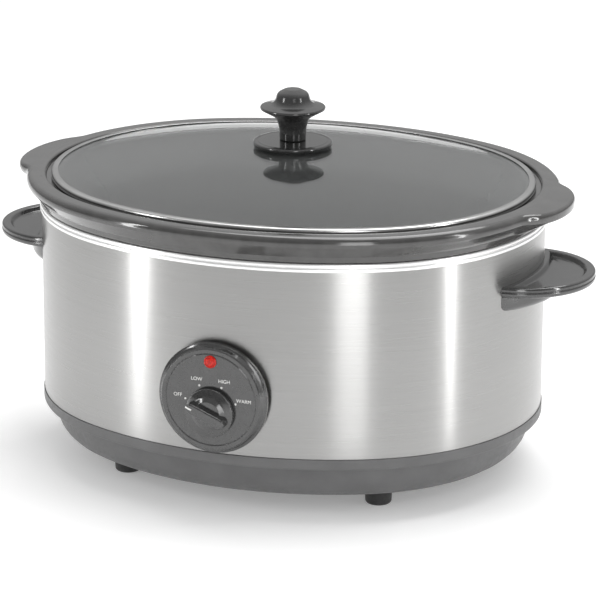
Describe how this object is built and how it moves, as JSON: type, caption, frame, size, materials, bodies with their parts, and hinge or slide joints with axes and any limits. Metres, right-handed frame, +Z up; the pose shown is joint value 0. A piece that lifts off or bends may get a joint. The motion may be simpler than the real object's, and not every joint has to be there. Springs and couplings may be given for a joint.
{
  "type": "slow cooker",
  "caption": "Oval slow cooker: lift-out glazed pot in a heated steel housing with end handles, a domed glass lid with a knob, and a round control panel with a rotary knob.",
  "frame": {"origin": "centre of the oval on the plane that the feet stand on", "axes": "+Z up, -Y towards the control panel at the front, +X to the right along the oval's long axis"},
  "size_m": [0.441, 0.344, 0.2673],
  "materials": {
    "brushed_steel": "brushed satin",
    "polished_steel": "polished",
    "zinc_steel": "zinc plated",
    "heater_tape": "woven glass tape",
    "black_glaze": "gloss glaze",
    "clear_glass": "clear, slightly grey",
    "black_plastic": "gloss moulded",
    "dark_plastic": "satin moulded",
    "red_lens": "translucent gloss",
    "lamp_glass": "clear",
    "rubber": "matt",
    "silicone": "matt",
    "brass": "plain",
    "white_plastic": "satin",
    "wire_brown": "satin",
    "wire_blue": "satin",
    "wire_green": "satin"
  },
  "bodies": {
    "housing": {"outer_shell": "brushed_steel", "heating_liner": "polished_steel", "heater_band": "heater_tape", "heater_clamp": "zinc_steel", "clamp_screw": "zinc_steel", "clamp_nut": "zinc_steel", "thermal_fuses": "polished_steel", "fuse_clips": "zinc_steel", "base_tray": "dark_plastic", "foot_front_left": "rubber", "foot_front_right": "rubber", "foot_rear_left": "rubber", "foot_rear_right": "rubber", "foot_screws": "zinc_steel", "tie_stud": "zinc_steel", "tie_washer": "zinc_steel", "tie_nut": "zinc_steel", "handle_left": "black_plastic", "handle_right": "black_plastic", "handle_screws": "zinc_steel", "handle_washers": "zinc_steel", "control_panel": "black_plastic", "panel_screws": "zinc_steel", "indicator_lens": "red_lens", "lamp_sleeve": "white_plastic", "neon_lamp": "lamp_glass", "rotary_switch": "white_plastic", "switch_nut": "brass", "terminal_block": "white_plastic", "terminal_screws": "brass", "earth_tab": "brass", "wire_live": "wire_brown", "wire_neutral": "wire_blue", "wire_earth": "wire_green", "wire_low_heat": "white_plastic", "wire_high_heat": "white_plastic", "cord_gland": "dark_plastic", "gland_nut": "dark_plastic"},
    "pot": {"stoneware_pot": "black_glaze"},
    "lid": {"lid_glass": "clear_glass", "lid_rim": "polished_steel", "knob_gasket": "silicone", "knob_skirt": "black_plastic", "lid_knob": "black_plastic", "knob_washer": "zinc_steel", "knob_screw": "zinc_steel"},
    "control": {"control_knob": "black_plastic", "switch_shaft": "zinc_steel"}
  },
  "joints": [
    {"name": "pot_lift", "type": "slide", "parent": "housing", "child": "pot", "axis": [0, 0, 1], "range_m": [0, 0.16]},
    {"name": "lid_lift", "type": "slide", "parent": "pot", "child": "lid", "axis": [0, 0, 1], "range_m": [0, 0.08]},
    {"name": "knob_turn", "type": "hinge", "parent": "housing", "child": "control", "pos_m": [0, -0.16, 0.08], "axis": [0, 1, 0], "range_deg": [0, 135]}
  ]
}
